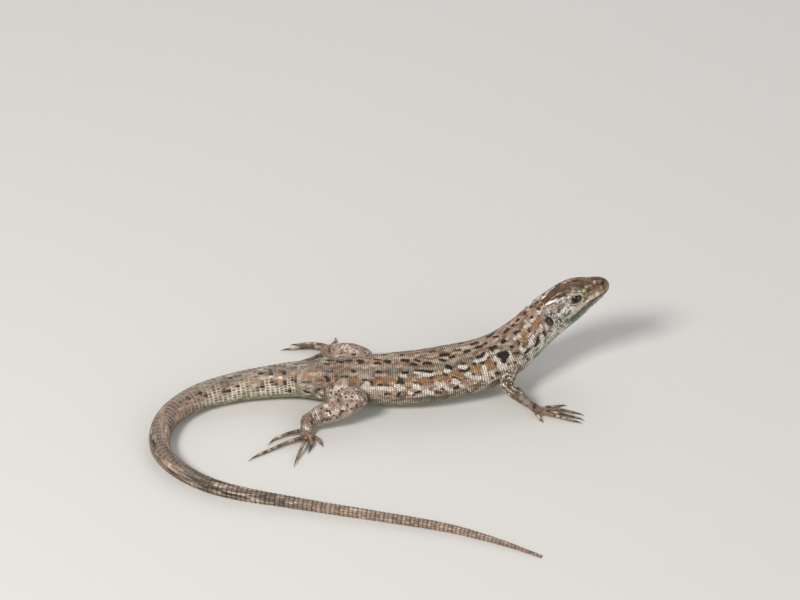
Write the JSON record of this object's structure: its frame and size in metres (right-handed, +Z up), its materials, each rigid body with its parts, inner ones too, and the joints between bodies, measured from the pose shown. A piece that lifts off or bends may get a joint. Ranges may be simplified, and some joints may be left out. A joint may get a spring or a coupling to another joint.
{
  "type": "wall lizard model",
  "caption": "Life-size museum model of a wall lizard, head raised, legs spread and long tail swept round beside it.",
  "frame": {"origin": "on the floor, under the middle of the whole animal's box", "axes": "+X the way the body heads, +Y its left side, +Z up"},
  "size_m": [0.092, 0.0703, 0.0199],
  "materials": {
    "skin": "fine scales, satin",
    "eye": "polished, wet look",
    "claw": "dark horn, satin"
  },
  "bodies": {
    "root": {"claw_finger_left_1": "claw", "claw_finger_left_2": "claw", "claw_finger_left_3": "claw", "claw_finger_left_4": "claw", "claw_finger_left_5": "claw", "claw_finger_right_1": "claw", "claw_finger_right_2": "claw", "claw_finger_right_3": "claw", "claw_finger_right_4": "claw", "claw_finger_right_5": "claw", "claw_toe_left_1": "claw", "claw_toe_left_2": "claw", "claw_toe_left_3": "claw", "claw_toe_left_4": "claw", "claw_toe_left_5": "claw", "claw_toe_right_1": "claw", "claw_toe_right_2": "claw", "claw_toe_right_3": "claw", "claw_toe_right_4": "claw", "claw_toe_right_5": "claw", "eye_left": "eye", "eye_right": "eye", "foot_left": "skin", "foot_right": "skin", "forearm_left": "skin", "forearm_right": "skin", "hand_left": "skin", "hand_right": "skin", "head": "skin", "lower_jaw": "skin", "neck": "skin", "shank_left": "skin", "shank_right": "skin", "tail_1": "skin", "tail_2": "skin", "tail_3": "skin", "tail_4": "skin", "tail_5": "skin", "tail_6": "skin", "tail_7": "skin", "tail_8": "skin", "thigh_left": "skin", "thigh_right": "skin", "trunk": "skin", "upper_arm_left": "skin", "upper_arm_right": "skin"}
  },
  "joints": []
}
